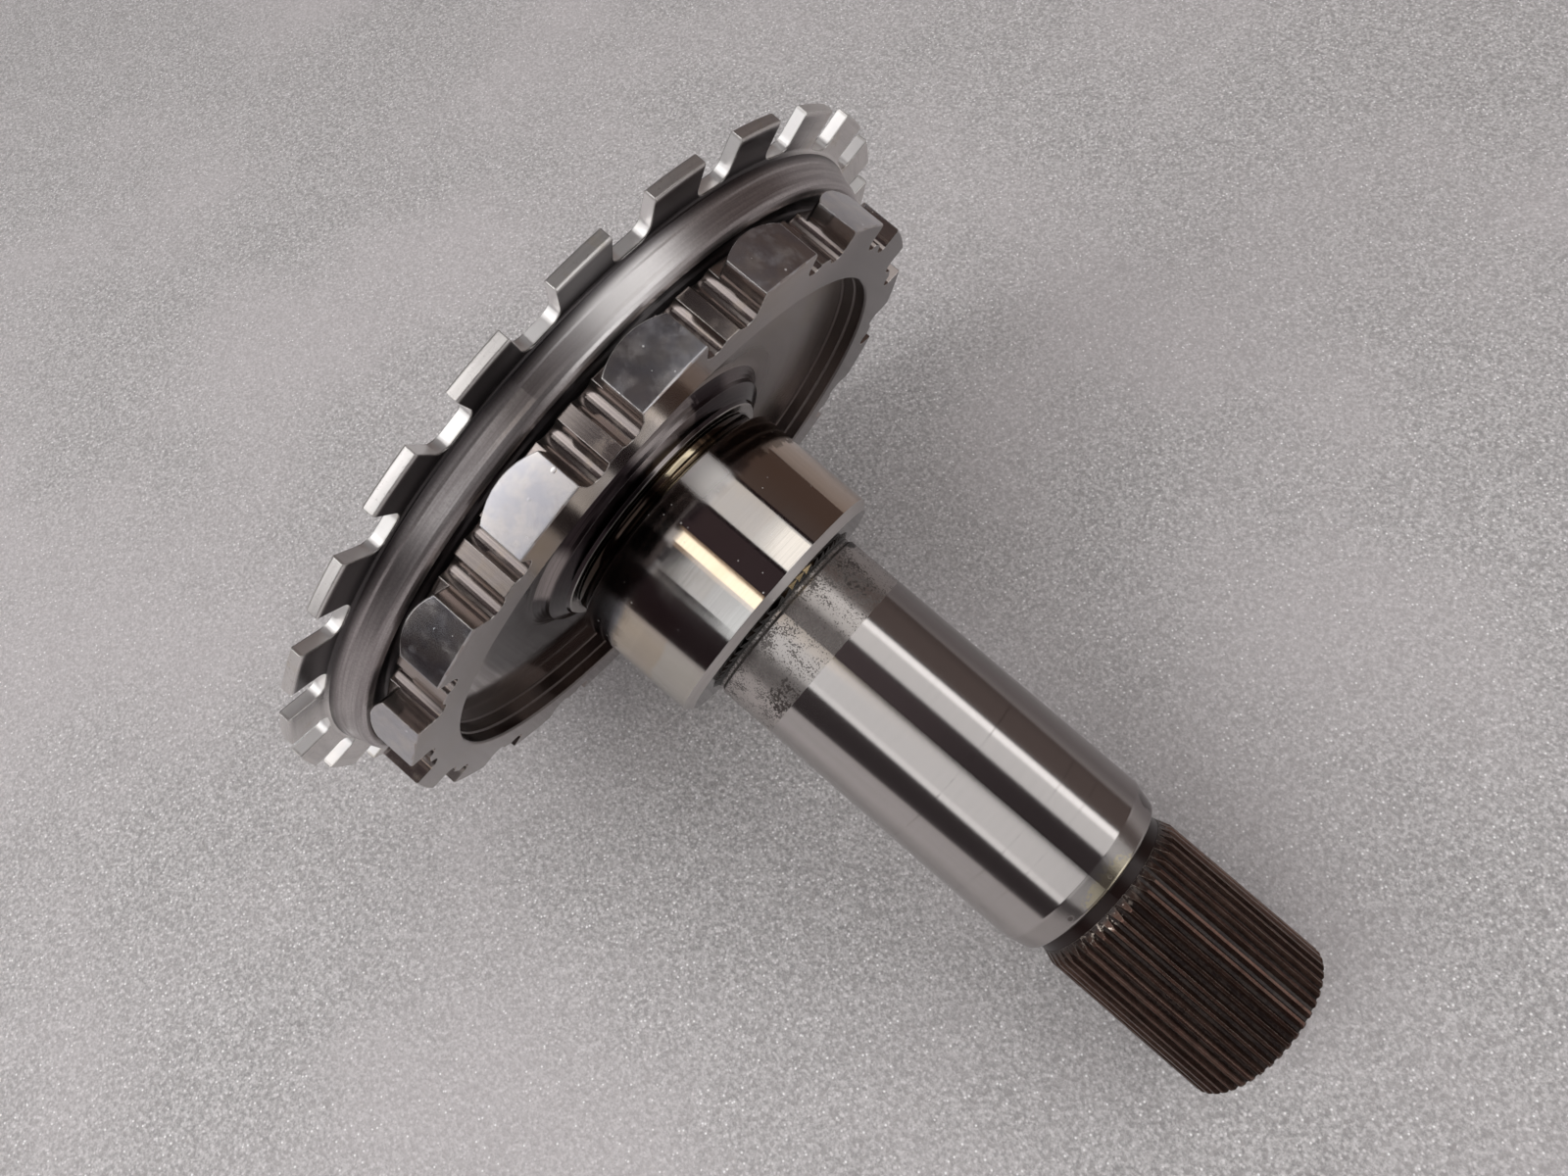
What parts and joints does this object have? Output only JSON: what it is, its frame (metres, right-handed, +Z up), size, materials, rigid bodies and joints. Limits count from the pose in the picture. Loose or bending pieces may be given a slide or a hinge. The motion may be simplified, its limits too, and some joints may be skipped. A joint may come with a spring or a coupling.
{
  "type": "gearbox output shaft",
  "caption": "Steel output shaft of a car's automatic gearbox: a toothed drive disc, a parking gear with a dished front, a ground bearing journal and a splined end.",
  "frame": {"origin": "centre of the back face of the toothed disc, on the axis, where the part stands", "axes": "+Z up the axis from the toothed disc to the splined end, +X at an angle where the picture's camera stood"},
  "size_m": [0.1793, 0.1794, 0.1871],
  "materials": {
    "ground_steel": "turned, ground and milled steel, polished on the journal and stained dark on the spline"
  },
  "bodies": {
    "root": {"output_shaft": "ground_steel"}
  },
  "joints": []
}
